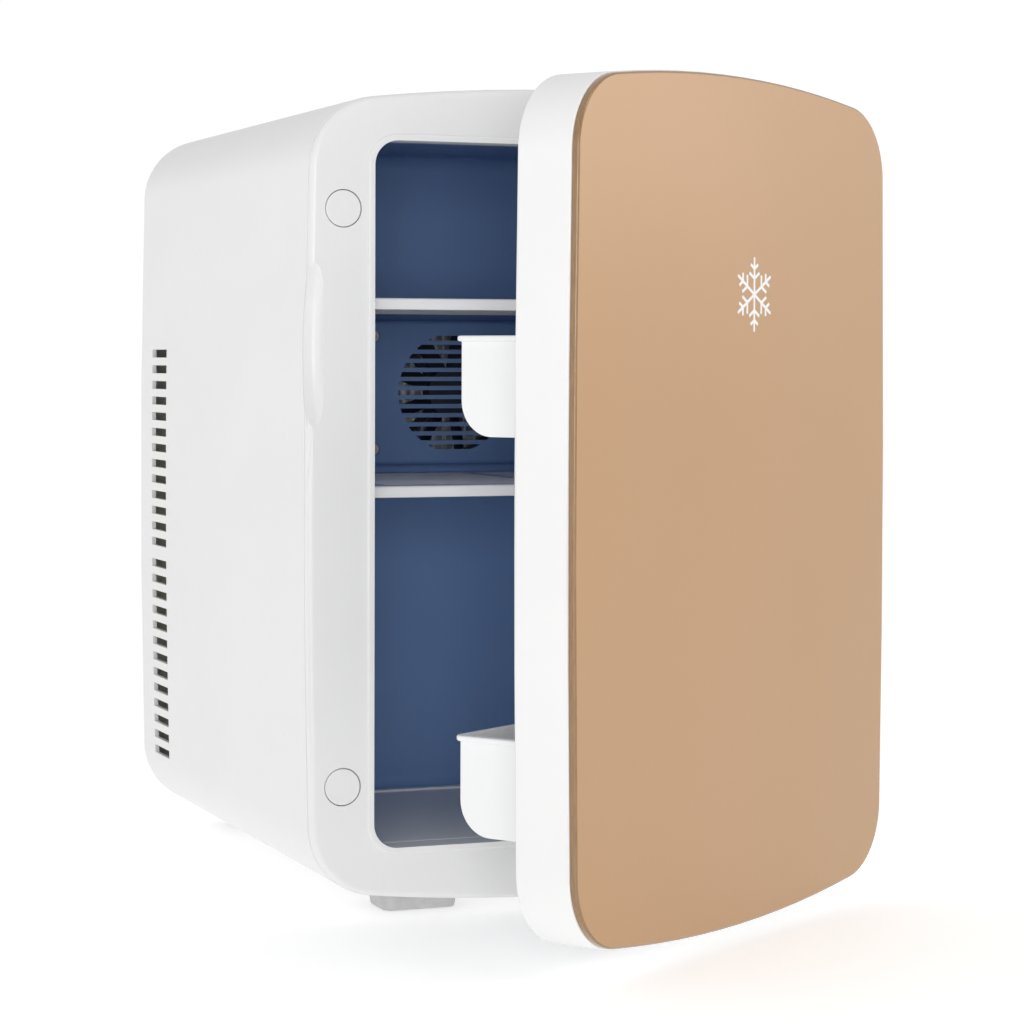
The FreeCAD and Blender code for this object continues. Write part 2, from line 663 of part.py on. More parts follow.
def finned_sink(half, base_y0, base_y1, fin_y0, fin_y1, fin_thickness, pitch, upright):
    """Square base with an odd number of fins, one of them through the middle."""
    pieces = [square_block(half, base_y0, base_y1)]
    reach = int((half - fin_thickness / 2) / pitch)
    for i in range(-reach, reach + 1):
        low = i * pitch - fin_thickness / 2
        high = low + fin_thickness
        if upright:
            pieces.append(box(low, high, fin_y0, fin_y1, STACK_Z - half, STACK_Z + half))
        else:
            pieces.append(box(-half, half, fin_y0, fin_y1, STACK_Z + low, STACK_Z + high))
    return fuse_all(pieces)


def cold_heat_sink():
    base_y0 = POCKET_BACK_Y - COLD_SINK_BASE
    sink = finned_sink(
        COLD_SINK_HALF, base_y0, POCKET_BACK_Y, COLD_FIN_Y, base_y0, 1.2, COLD_FIN_PITCH, True
    )
    for x in (-CLAMP_X, CLAMP_X):
        sink = sink.cut(rod_y(1.5, x, STACK_Z, base_y0, POCKET_BACK_Y + 1))
        sink = sink.cut(rod_y(2.6, x, STACK_Z, COLD_FIN_Y - 1, base_y0))
    return sink


def hot_heat_sink():
    base_y1 = HOT_SINK_Y + HOT_SINK_BASE
    fin_y1 = base_y1 + HOT_SINK_FIN
    sink = finned_sink(HOT_SINK_HALF, HOT_SINK_Y, base_y1, base_y1, fin_y1, 1.5, HOT_FIN_PITCH, False)
    for x in (-CLAMP_X, CLAMP_X):
        sink = sink.cut(rod_y(1.8, x, STACK_Z, HOT_SINK_Y - 1, base_y1 + 1))
        sink = sink.cut(rod_y(4.0, x, STACK_Z, base_y1, fin_y1 + 1))
    return sink.cut(rod_y(CUTOFF_R + 1.5, CUTOFF_X, CUTOFF_Z, base_y1, fin_y1 + 1))


def heat_sink_screws():
    head_y = HOT_SINK_Y + HOT_SINK_BASE
    length = head_y - POCKET_BACK_Y + COLD_SINK_BASE
    return [screw(x, head_y, STACK_Z, -Y_AXIS, length, 1.5, 3.0, 2.4) for x in (-CLAMP_X, CLAMP_X)]


def hot_fan_screws():
    """Long screws through the fan's corners, which bite between two fins of the hot sink."""
    length = HOT_FAN["y1"] - HOT_FAN["y0"] + 8
    return [screw(x, HOT_FAN["y1"], z, -Y_AXIS, length, 1.9, 3.4, 2.2) for x, z in fan_hole_places(HOT_FAN)]


def thermal_cutoff():
    """Button cut-out on the hot sink's base: a round can with a flange and two blade terminals."""
    y = HOT_SINK_Y + HOT_SINK_BASE
    flange = rod_y(CUTOFF_R, CUTOFF_X, CUTOFF_Z, y, y + 3)
    can = rod_y(CUTOFF_R - 1, CUTOFF_X, CUTOFF_Z, y, y + 8)
    pieces = [flange, can]
    for side in (-1, 1):
        x = CUTOFF_X + side * 3.4
        pieces.append(box(x - 0.4, x + 0.4, y + 7, y + 14, CUTOFF_Z - 2.4, CUTOFF_Z + 2.4))
    return fuse_all(pieces)


def temperature_sensor():
    """Bulb that lies upright against the outside of the liner's back wall."""
    y = LINER_BACK_Y + LINER_WALL + SENSOR_R
    return rod_z(SENSOR_R, SENSOR_X, y, SENSOR_Z0, SENSOR_Z1)


def square_block(half, y0, y1):
    return box(-half, half, y0, y1, STACK_Z - half, STACK_Z + half)


def peltier_gasket():
    gasket = square_block(GASKET_HALF, PELTIER_Y, HOT_SINK_Y)
    gasket = gasket.cut(square_block(SPACER_HALF + 0.6, PELTIER_Y, HOT_SINK_Y))
    for x in (-CLAMP_X, CLAMP_X):
        gasket = gasket.cut(rod_y(2.0, x, STACK_Z, PELTIER_Y - 1, HOT_SINK_Y + 1))
    return gasket


# ---- rear cover and electrics -----------------------------------------------

def rear_screw_places():
    inset = COVER_INSET + REAR_SCREW_INSET
    rise = HALF_H - TOP_R + math.sqrt((TOP_R - inset) ** 2 - REAR_SCREW_SPREAD**2)
    corners = [(sx * REAR_SCREW_SPREAD, MID_Z + sz * rise) for sx in (-1, 1) for sz in (-1, 1)]
    return corners + [(sx * (HALF_W - inset), MID_Z) for sx in (-1, 1)]


def rear_cover():
    before = BACK_Y - REAR_WALL - 8
    after = BACK_Y + 1
    cover = arched_block(COVER_INSET + COVER_CLEARANCE, BACK_Y - REAR_WALL, BACK_Y)
    cover = cover.makeFillet(0.8, edges_at_y(cover, BACK_Y))
    slots = []
    for i in range(-5, 6):
        low = STACK_Z + i * GRILLE_PITCH - GRILLE_SLOT / 2
        slots.append(box(-GRILLE_R, GRILLE_R, before, after, low, low + GRILLE_SLOT))
    grille = Part.makeCompound(slots).common(rod_y(GRILLE_R, 0, STACK_Z, before, after))
    spoke = box(-1.5, 1.5, before, after, STACK_Z - GRILLE_R, STACK_Z + GRILLE_R)
    cover = cover.cut(grille.cut(spoke))
    guard = rod_y(GRILLE_R + 5, 0, STACK_Z, BACK_Y - REAR_WALL - 4, BACK_Y - REAR_WALL)
    cover = cover.fuse(guard.cut(rod_y(GRILLE_R + 3, 0, STACK_Z, before, after)))
    bodies = ((AC_X, AC_INLET["body"]), (DC_X, DC_SOCKET["body"]), (SWITCH_X, SWITCH_BODY))
    for x, (half_x, half_z) in bodies:
        half_x += INLET_CLEARANCE
        half_z += INLET_CLEARANCE
        cover = cover.cut(box(x - half_x, x + half_x, before, after, SOCKET_Z - half_z, SOCKET_Z + half_z))
    cover = cover.cut(rod_y(LENS_R, INDICATOR_X, SOCKET_Z, before, after))
    for x, z in rear_screw_places():
        cover = cover.cut(rod_y(1.5, x, z, before, after)).cut(rod_y(3.0, x, z, BACK_Y - 1.2, after))
    return cover.removeSplitter()


def rear_cover_screws():
    return [screw(x, BACK_Y - 1.2, z, -Y_AXIS, 4.5, 1.5, 2.7, 1.0) for x, z in rear_screw_places()]


def socket_pins(x, size):
    """Two contact pins that stand in the floor of a power inlet."""
    y0 = BACK_Y - size["depth"] - 7
    return [rod_y(size["pin_r"], x + side * size["pin_x"], SOCKET_Z, y0, BACK_Y - 3) for side in (-1, 1)]


def socket(x, size):
    """Two-pin power inlet: flange on the cover, body behind it, open to the back."""
    flange_x, flange_z = size["flange"]
    body_x, body_z = size["body"]
    cave_x, cave_z = size["cave"]
    floor_y = BACK_Y - size["depth"]
    flange = rounded_block(
        x - flange_x, x + flange_x, BACK_Y, BACK_Y + 1.4, SOCKET_Z - flange_z, SOCKET_Z + flange_z, 2.0
    )
    body = box(x - body_x, x + body_x, floor_y - 3, BACK_Y, SOCKET_Z - body_z, SOCKET_Z + body_z)
    cave = rounded_block(
        x - cave_x, x + cave_x, floor_y, BACK_Y + 2, SOCKET_Z - cave_z, SOCKET_Z + cave_z, 3.0
    )
    inlet = flange.fuse(body).cut(cave)
    for pin in socket_pins(x, size):
        inlet = inlet.cut(pin)
    return inlet.removeSplitter()


def mode_switch_housing():
    half_x, half_z = SWITCH_BODY
    x0 = SWITCH_X - half_x
    x1 = SWITCH_X + half_x
    y1 = BACK_Y + 1.2
    flange = rounded_block(
        x0 - 2, x1 + 2, BACK_Y, y1,
        SOCKET_Z - half_z - 2, SOCKET_Z + half_z + 2, 2.0,
    )
    body = box(x0, x1, BACK_Y - 18, BACK_Y, SOCKET_Z - half_z, SOCKET_Z + half_z)
    cave = box(
        x0 + 1.5, x1 - 1.5, BACK_Y - 11, y1 + 1,
        SOCKET_Z - half_z + 1.5, SOCKET_Z + half_z - 1.5,
    )
    housing = flange.fuse(body).cut(cave)
    reach = half_z - 0.4
    bore = rod_z(1.0 + RUNNING_GAP, SWITCH_X, SWITCH_PIVOT_Y, SOCKET_Z - reach, SOCKET_Z + reach)
    return housing.cut(bore).removeSplitter()


def mode_switch_rocker():
    """Rocker with a shallow valley in its face and an axle through its middle."""
    half = 8.0
    face = 2.6
    valley = 1.0
    points = [
        (-half, -5.5), (-half, face), (-half / 2, face - 0.6), (0.0, valley), (half / 2, face - 0.6),
        (half, face), (half, -5.5), (2.5, -7.5), (-2.5, -7.5), (-half, -5.5),
    ]
    wire = Part.makePolygon([vec(SWITCH_X + x, BACK_Y + y, SOCKET_Z - 4.7) for x, y in points])
    rocker = Part.Face(wire).extrude(vec(0, 0, 9.4))
    axle = rod_z(1.0, SWITCH_X, SWITCH_PIVOT_Y, SOCKET_Z - 5.9, SOCKET_Z + 5.9)
    return rocker.fuse(axle).removeSplitter()


def board_tray():
    """Plate on three ribs that rest on the shell's floor, with four posts for the board."""
    y0 = BOARD_Y - TRAY_HALF_Y
    y1 = BOARD_Y + TRAY_HALF_Y
    plate = box(-TRAY_HALF_X, TRAY_HALF_X, y0, y1, TRAY_Z, TRAY_Z + 2)
    ribs = [box(x - 1, x + 1, y0, y1, 3, TRAY_Z + 0.5) for x in (-45, 0, 45)]
    posts = [rod_z(3.0, x, y, TRAY_Z + 1, BOARD_Z) for x, y in board_post_places()]
    tray = fuse_all([plate] + ribs + posts)
    return tray.common(arched_block(SHELL_WALL + 0.05, y0 - 5, y1 + 5))


def board_post_places():
    return [(sx * 44.0, BOARD_Y + sy * 22.0) for sx in (-1, 1) for sy in (-1, 1)]


def power_board():
    y0 = BOARD_Y - BOARD_HALF_Y
    y1 = BOARD_Y + BOARD_HALF_Y
    return box(-BOARD_HALF_X, BOARD_HALF_X, y0, y1, BOARD_Z, BOARD_TOP)


def transformer():
    core = box(-40, -12, BOARD_Y - 14, BOARD_Y + 10, BOARD_TOP, BOARD_TOP + 20)
    winding = box(-36, -16, BOARD_Y - 18, BOARD_Y + 14, BOARD_TOP + 3.5, BOARD_TOP + 17)
    return core.fuse(winding).removeSplitter()


def capacitors():
    """Two large and one small electrolytic capacitor, upright on the board."""
    large = [rod_z(6.0, x, BOARD_Y - 9.5, BOARD_TOP, BOARD_TOP + 22) for x in (8, 23)]
    return large + [rod_z(4.0, 41, BOARD_Y + 12.5, BOARD_TOP, BOARD_TOP + 12)]


def regulator_sink():
    y = BOARD_Y + 4.5
    fins = [box(4, 34, y + i * 4, y + i * 4 + 1.2, BOARD_TOP + 3, BOARD_TOP + 16) for i in range(3)]
    return fuse_all([box(4, 34, y, y + 12, BOARD_TOP, BOARD_TOP + 3.5)] + fins)


# ---- door -------------------------------------------------------------------

def hinge_relief(grow):
    """What the cabinet's corner sweeps out of the door's back as the door opens."""
    radius = HINGE_CLEAR_R + grow
    barrel = rod_z(radius, HINGE_X, HINGE_Y, -10, HEIGHT + 30)
    flank = box(HINGE_X, HINGE_X + 30, HINGE_Y - radius, HINGE_Y + 30, -10, HEIGHT + 30)
    flank.rotate(vec(HINGE_X, HINGE_Y, 0), Z_AXIS, HINGE_BEVEL_DEG)
    return barrel.fuse(flank)


def door_section(inset, y0, y1, right):
    """Arched block that stops short of the hinge side at x = right."""
    return arched_block(inset, y0, y1).common(box(-HALF_W - 1, right, y0 - 1, y1 + 1, 0, HEIGHT + 20))


def lug_root(z, grow=0.0):
    half = LUG_HALF + grow
    return box(HINGE_X - 5 - grow, HINGE_X + 5 + grow, DOOR_FRONT_Y + 6 - grow, HINGE_Y, z - half, z + half)


def door_shell():
    shell = arched_block(0, DOOR_FRONT_Y, DOOR_BACK_Y)
    shell = shell.makeFillet(1.2, edges_at_y(shell, DOOR_BACK_Y))
    shell = shell.makeFillet(0.6, edges_at_y(shell, DOOR_FRONT_Y))
    cavity = door_section(DOOR_WALL, DOOR_FRONT_Y + 2, DOOR_BACK_Y + 1, DOOR_CAVITY_RIGHT)
    shell = shell.cut(cavity)
    for x, z in DOOR_SCREWS:
        boss = rod_y(4.0, x, z, DOOR_FRONT_Y + 1, DOOR_LINER_Y - DOOR_LINER_THICKNESS)
        shell = shell.fuse(boss).cut(rod_y(1.3, x, z, DOOR_FRONT_Y + 8, DOOR_BACK_Y))
    shell = shell.cut(hinge_relief(0))
    for z in HINGE_LEVELS.values():
        shell = shell.cut(lug_root(z, 0.1))
    return shell.removeSplitter()


def door_glass():
    glass = arched_block(GLASS_INSET, DOOR_FRONT_Y - GLASS_THICKNESS, DOOR_FRONT_Y)
    return glass.makeChamfer(0.7, edges_at_y(glass, DOOR_FRONT_Y - GLASS_THICKNESS))


def bin_rail(bottom):
    """J-shaped rail on the inner panel that a bin's hook drops into."""
    top = bottom + BIN_HEIGHT
    y = DOOR_LINER_Y - 0.5
    points = [
        (y, top - 9.0), (y + 5.5, top - 9.0), (y + 5.5, top - 2.3), (y + 4.0, top - 2.3),
        (y + 4.0, top - 7.2), (y, top - 7.2), (y, top - 9.0),
    ]
    wire = Part.makePolygon([vec(-HOOK_HALF, py, pz) for py, pz in points])
    return Part.Face(wire).extrude(vec(2 * HOOK_HALF, 0, 0))


def door_liner():
    y1 = DOOR_LINER_Y
    y0 = y1 - DOOR_LINER_THICKNESS
    panel = door_section(DOOR_WALL + 0.2, y0, y1, DOOR_CAVITY_RIGHT - 0.2)
    panel = fuse_all([panel] + [bin_rail(bottom) for bottom in BIN_BOTTOMS.values()])
    panel = panel.cut(gasket_ring(0.1, DOOR_LINER_Y - 1.0, DOOR_BACK_Y))
    for x, z in DOOR_SCREWS:
        panel = panel.cut(rod_y(1.5, x, z, y0 - 1, y1 + 1)).cut(rod_y(2.7, x, z, y1 - 1.1, y1 + 1))
    return panel


def gasket_ring(grow, y0, y1):
    outer = OPENING_HALF + LIP_WIDTH + 0.1 + grow - 0.4
    inner = OPENING_HALF - 1.8 - grow
    rise = OPENING_HIGH - OPENING_HALF
    drop = OPENING_LOW + OPENING_HALF
    ring = rounded_block(-outer, outer, y0, y1, drop - outer, rise + outer, OPENING_R + 3)
    hole = rounded_block(-inner, inner, y0 - 1, y1 + 1, drop - inner, rise + inner, OPENING_R - 2)
    return ring.cut(hole)


def door_gasket():
    return gasket_ring(0, DOOR_LINER_Y - 1.0, FRONT_Y - LIP_HEIGHT - 0.2)


def door_insulation():
    y0 = DOOR_FRONT_Y + 2.2
    y1 = DOOR_LINER_Y - DOOR_LINER_THICKNESS - 0.2
    foam = door_section(DOOR_WALL + 0.3, y0, y1, DOOR_CAVITY_RIGHT - 0.3)
    for x, z in DOOR_SCREWS:
        foam = foam.cut(rod_y(4.3, x, z, y0 - 1, y1 + 1))
    for z in LATCH_LEVELS.values():
        foam = foam.cut(rod_y(MAGNET_R + 0.1, LATCH_X, z, y1 - MAGNET_THICKNESS - 0.1, y1 + 1))
    return foam


def door_magnet(z):
    y1 = DOOR_LINER_Y - DOOR_LINER_THICKNESS
    return rod_y(MAGNET_R, LATCH_X, z, y1 - MAGNET_THICKNESS, y1)


def door_liner_screws():
    y = DOOR_LINER_Y - 1.1
    return [on_door(screw(x, y, z, -Y_AXIS, 9.0, 1.3, 2.5, 1.0)) for x, z in DOOR_SCREWS]


def hinge_lug(z):
    eye = rod_z(LUG_R, HINGE_X, HINGE_Y, z - LUG_HALF, z + LUG_HALF)
    lug = eye.fuse(lug_root(z))
    return lug.cut(rod_z(BUSH_R, HINGE_X, HINGE_Y, z - LUG_HALF - 1, z + LUG_HALF + 1)).removeSplitter()


def hinge_bush(z):
    bush = rod_z(BUSH_R, HINGE_X, HINGE_Y, z - LUG_HALF, z + LUG_HALF)
    return bush.cut(rod_z(PIN_R + RUNNING_GAP, HINGE_X, HINGE_Y, z - LUG_HALF - 1, z + LUG_HALF + 1))


def hinge_pin(z):
    return rod_z(PIN_R, HINGE_X, HINGE_Y, z - PIN_HALF, z + PIN_HALF)


def door_bin(bottom):
    """Open-top bin: a tray with a turned-out rim and a hook lip along its back."""
    top = bottom + BIN_HEIGHT
    outside = box(-BIN_HALF, BIN_HALF, BIN_BACK_Y, BIN_FRONT_Y, bottom, top)
    low_front = [e for e in outside.Edges if abs(e.BoundBox.ZMax - bottom) < 0.01
                 and e.BoundBox.YMin > BIN_FRONT_Y - 0.01]
    outside = outside.makeFillet(BIN_TOE_R, low_front)
    inside = box(
        -BIN_HALF + BIN_WALL, BIN_HALF - BIN_WALL, BIN_BACK_Y + BIN_WALL, BIN_FRONT_Y - BIN_WALL,
        bottom + BIN_WALL, top + 1,
    )
    inner_edges = [e for e in inside.Edges if abs(e.BoundBox.ZMax - bottom - BIN_WALL) < 0.01
                   and e.BoundBox.YMin > BIN_FRONT_Y - BIN_WALL - 0.01]
    inside = inside.makeFillet(BIN_TOE_R - BIN_WALL, inner_edges)
    rim = box(
        -BIN_HALF - BIN_RIM, BIN_HALF + BIN_RIM, BIN_BACK_Y, BIN_FRONT_Y + BIN_RIM,
        top - BIN_RIM_THICKNESS, top,
    )
    upright = [e for e in rim.Edges if abs(e.tangentAt(e.FirstParameter).z) > 0.99
               and e.BoundBox.YMin > BIN_FRONT_Y]
    rim = rim.makeFillet(5.0, upright)
    outer_edges = [e for e in rim.Edges if e.BoundBox.YMin > BIN_FRONT_Y + BIN_RIM - 0.01]
    rim = rim.makeFillet(BIN_RIM_R, outer_edges)
    hook_y = DOOR_LINER_Y + 1.2
    hook = box(-HOOK_HALF + 2, HOOK_HALF - 2, hook_y, BIN_BACK_Y + 1, top - 2.0, top)
    lip = box(-HOOK_HALF + 2, HOOK_HALF - 2, hook_y, hook_y + 1.8, top - HOOK_DROP, top)
    return fuse_all([outside, rim, hook, lip]).cut(inside)


# ---- write every piece ------------------------------------------------------

save("outer_shell", outer_shell())
save("front_frame", front_frame())
save("inner_liner", inner_liner())
save("floor_tray", floor_tray())
save("insulation_foam", insulation_foam())
for level, height in LATCH_LEVELS.items():
    save(f"{level}_magnet_cover", magnet_cover(height))
    save(f"{level}_frame_magnet", frame_magnet(height))
    save(f"{level}_door_magnet", on_door(door_magnet(height)))
for level, height in HINGE_LEVELS.items():
    save(f"{level}_hinge_pin", hinge_pin(height))
    save(f"{level}_hinge_lug", on_door(hinge_lug(height)))
    save(f"{level}_hinge_bush", on_door(hinge_bush(height)))
for level, height in SHELF_BOTTOMS.items():
    save(f"{level}_shelf", shelf(height))
for level, height in BIN_BOTTOMS.items():
    save(f"{level}_bin", on_door(door_bin(height)))
for foot_x, foot_y in foot_places():
    end = "front" if foot_y < 0 else "rear"
    side = "left" if foot_x < 0 else "right"
    save(f"foot_{end}_{side}", foot(foot_x, foot_y))
save("foot_screws", *foot_screws())

save("inner_fan_cover", inner_fan_cover())
save("inner_fan_cover_screws", *inner_fan_cover_screws())
save("cold_fan_housing", fan_housing(COLD_FAN))
save("cold_fan_rotor", fan_rotor(COLD_FAN))
save("cold_heat_sink", cold_heat_sink())
save("cold_spacer_block", square_block(SPACER_HALF, POCKET_BACK_Y, PELTIER_Y))
save("peltier_module", square_block(SPACER_HALF, PELTIER_Y, HOT_SINK_Y))
save("peltier_gasket", peltier_gasket())
save("temperature_sensor", temperature_sensor())
save("hot_heat_sink", hot_heat_sink())
save("heat_sink_screws", *heat_sink_screws())
save("thermal_cutoff", thermal_cutoff())
save("hot_fan_housing", fan_housing(HOT_FAN))
save("hot_fan_screws", *hot_fan_screws())
save("hot_fan_rotor", fan_rotor(HOT_FAN))

save("rear_cover", rear_cover())
save("rear_cover_screws", *rear_cover_screws())
save("ac_inlet", socket(AC_X, AC_INLET))
save("dc_socket", socket(DC_X, DC_SOCKET))
save("socket_pins", *(socket_pins(AC_X, AC_INLET) + socket_pins(DC_X, DC_SOCKET)))
save("mode_switch_housing", mode_switch_housing())
save("mode_switch_rocker", mode_switch_rocker())
save("indicator_lens", rod_y(LENS_R, INDICATOR_X, SOCKET_Z, BACK_Y - 5, BACK_Y + 0.6))
save("board_tray", board_tray())
save("power_board", power_board())
save("transformer", transformer())
save("capacitors", *capacitors())
save("regulator_sink", regulator_sink())

save("door_shell", on_door(door_shell()))
save("door_glass", on_door(door_glass()))
save("door_liner", on_door(door_liner()))
save("door_gasket", on_door(door_gasket()))
save("door_insulation", on_door(door_insulation()))
save("door_liner_screws", *door_liner_screws())
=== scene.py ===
import json
import math

import bmesh
import bpy
from mathutils import Matrix, Vector


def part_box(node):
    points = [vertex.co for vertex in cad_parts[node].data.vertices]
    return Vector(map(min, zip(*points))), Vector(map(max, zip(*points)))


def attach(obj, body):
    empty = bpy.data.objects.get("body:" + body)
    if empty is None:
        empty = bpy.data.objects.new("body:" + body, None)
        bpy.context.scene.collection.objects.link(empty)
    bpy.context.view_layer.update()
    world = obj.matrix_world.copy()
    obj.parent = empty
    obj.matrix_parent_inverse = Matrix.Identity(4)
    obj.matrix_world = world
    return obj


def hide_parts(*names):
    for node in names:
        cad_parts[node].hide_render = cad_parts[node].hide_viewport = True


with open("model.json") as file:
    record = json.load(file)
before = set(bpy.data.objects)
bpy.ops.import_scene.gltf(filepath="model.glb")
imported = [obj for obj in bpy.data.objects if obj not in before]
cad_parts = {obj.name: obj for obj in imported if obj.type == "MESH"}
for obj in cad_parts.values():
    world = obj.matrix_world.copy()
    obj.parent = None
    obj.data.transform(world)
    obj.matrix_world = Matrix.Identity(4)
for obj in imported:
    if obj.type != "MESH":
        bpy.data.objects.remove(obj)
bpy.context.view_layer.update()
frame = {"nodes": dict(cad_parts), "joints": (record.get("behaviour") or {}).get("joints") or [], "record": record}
NODES = frame["nodes"]

MM = 0.001
UP = Vector((0.0, 0.0, 1.0))
FRONT = Vector((0.0, -1.0, 0.0))

# How the door stands at rest: turned about its hinge, away from the cabinet's front
DOOR_JOINT = next(joint for joint in frame["joints"] if joint["name"] == "door_hinge")
DOOR_TURN = -math.radians(DOOR_JOINT["range_deg"][0])
DOOR_OUT = Vector((math.sin(DOOR_TURN), -math.cos(DOOR_TURN), 0.0))
DOOR_ALONG = Vector((math.cos(DOOR_TURN), math.sin(DOOR_TURN), 0.0))
HINGE = Vector((DOOR_JOINT["pos_m"][0], DOOR_JOINT["pos_m"][1], 0.0))


# ---- material building ----------------------------------------------------------------

# Most of a noise's values lie between these two
NOISE_SPAN = (0.3, 0.7)


def shade(colour, factor):
    return tuple(min(1.0, channel * factor) for channel in colour)


class Finish:
    """A material with one Principled shader, and short calls for the nodes that feed it."""

    def __init__(self, name, **sockets):
        self.material = bpy.data.materials.new(name)
        self.material.use_nodes = True
        self.tree = self.material.node_tree
        self.shader = self.tree.nodes["Principled BSDF"]
        self.place = self.add("ShaderNodeTexCoord")
        for key, value in sockets.items():
            self.fix(key.replace("_", " "), value)

    def add(self, kind, **settings):
        node = self.tree.nodes.new(kind)
        for key, value in settings.items():
            setattr(node, key, value)
        return node

    def link(self, source, target):
        self.tree.links.new(source, target)

    def socket(self, name):
        wanted = name.lower()
        return next(socket for socket in self.shader.inputs if socket.name.lower() == wanted)

    def fix(self, name, value):
        self.socket(name).default_value = value

    def feed(self, name, source):
        self.link(source, self.socket(name))

    def spot(self, squeeze):
        """Place on the surface, where a pattern is squeezed along the frame's axes."""
        mapping = self.add("ShaderNodeMapping")
        mapping.inputs["Scale"].default_value = squeeze
        self.link(self.place.outputs["Object"], mapping.inputs["Vector"])
        return mapping.outputs["Vector"]

    def noise(self, size, detail=2.0, roughness=0.5, squeeze=(1.0, 1.0, 1.0)):
        """Noise whose blobs are about size metres wide."""
        node = self.add("ShaderNodeTexNoise")
        node.inputs["Scale"].default_value = 1.0 / size
        node.inputs["Detail"].default_value = detail
        node.inputs["Roughness"].default_value = roughness
        self.link(self.spot(squeeze), node.inputs["Vector"])
        return node.outputs["Fac"]

    def cells(self, size, feature="F1", squeeze=(1.0, 1.0, 1.0)):
        """Distance within cells about size metres wide: to their points, or to their edges."""
        node = self.add("ShaderNodeTexVoronoi", feature=feature)
        node.inputs["Scale"].default_value = 1.0 / size
        self.link(self.spot(squeeze), node.inputs["Vector"])
        return node.outputs["Distance"]

    def between(self, source, low, high, start=0.0, end=1.0):
        """Source, from start to end, made into a number from low to high."""
        node = self.add("ShaderNodeMapRange")
        node.inputs["From Min"].default_value = start
        node.inputs["From Max"].default_value = end
        node.inputs["To Min"].default_value = low
        node.inputs["To Max"].default_value = high
        self.link(source, node.inputs["Value"])
        return node.outputs["Result"]

    def spread(self, noise, low=0.0, high=1.0):
        """Noise made into a number that reaches both low and high."""
        return self.between(noise, low, high, *NOISE_SPAN)

    def math(self, operation, first, second):
        node = self.add("ShaderNodeMath", operation=operation)
        self.link(first, node.inputs[0])
        self.link(second, node.inputs[1])
        return node.outputs["Value"]

    def mix(self, share, first, second):
        """Colour from first to second; each is a colour or another node's output."""
        node = self.add("ShaderNodeMix", data_type="RGBA")
        self.link(share, node.inputs["Factor"])
        for value, name in ((first, "A"), (second, "B")):
            target = next(i for i in node.inputs if i.name == name and i.type == "RGBA")
            if isinstance(value, tuple):
                target.default_value = (*value, 1.0)
            else:
                self.link(value, target)
        return next(output for output in node.outputs if output.type == "RGBA")

    def tones(self, share, colour, low, high):
        """The colour, from low times to high times as bright."""
        return self.mix(share, shade(colour, low), shade(colour, high))

    def reach(self, kind, direction, start, end):
        """0 to 1 as a coordinate's part along direction goes from start to end."""
        dot = self.add("ShaderNodeVectorMath", operation="DOT_PRODUCT")
        dot.inputs[1].default_value = direction
        self.link(self.place.outputs[kind], dot.inputs[0])
        return self.between(dot.outputs["Value"], 0.0, 1.0, start, end)

    def facing(self, direction, start, end):
        """0 to 1 as the surface turns towards direction, given in the frame at rest."""
        return self.reach("Normal", direction, start, end)

    def along(self, direction, start, end):
        """0 to 1 as the place moves along direction, from start to end metres."""
        return self.reach("Object", direction, start, end)

    def bump(self, *layers):
        """Relief from layers of (height source, height in metres), the coarsest first."""
        normal = None
        for source, height in layers:
            node = self.add("ShaderNodeBump")
            node.inputs["Strength"].default_value = 1.0
            node.inputs["Distance"].default_value = height
            self.link(source, node.inputs["Height"])
            if normal is not None:
                self.link(normal, node.inputs["Normal"])
            normal = node.outputs["Normal"]
        self.feed("Normal", normal)


# ---- materials ------------------------------------------------------------------------

def moulded(name, colour, roughness, grain=0.35 * MM, relief=0.006 * MM, glow=0.0, floor_darkening=0.0):
    """Injection-moulded plastic, with fine eroded grain over a faint long ripple.

    Glow is the share of light that passes under its skin. The last argument is how much darker it grows in patches
    towards the floor.
    """
    finish = Finish(name, Subsurface_Weight=glow, Subsurface_Scale=1.2 * MM)
    finish.fix("Subsurface Radius", (1.0, 0.9, 0.8))
    flow = finish.noise(55 * MM, detail=3.0, squeeze=(1.0, 0.6, 1.4))
    tone = finish.tones(finish.spread(flow), colour, 0.985, 1.008)
    if floor_darkening:
        # A patchy darkening that starts 30 mm above the floor and is full at 2 mm
        low = finish.along(-UP, -30 * MM, -2 * MM)
        cloud = finish.noise(14 * MM, detail=5.0, roughness=0.65)
        patch = finish.between(cloud, 0.0, floor_darkening, 0.4, 0.7)
        tone = finish.mix(finish.math("MULTIPLY", low, patch), tone, shade(colour, 0.86))
    finish.feed("Base Color", tone)
    polish = finish.noise(12 * MM, detail=3.0)
    finish.feed("Roughness", finish.spread(polish, roughness - 0.02, roughness + 0.03))
    finish.bump(
        (finish.noise(40 * MM, detail=1.0), 0.04 * MM),
        (finish.noise(grain), relief),
    )
    return finish.material


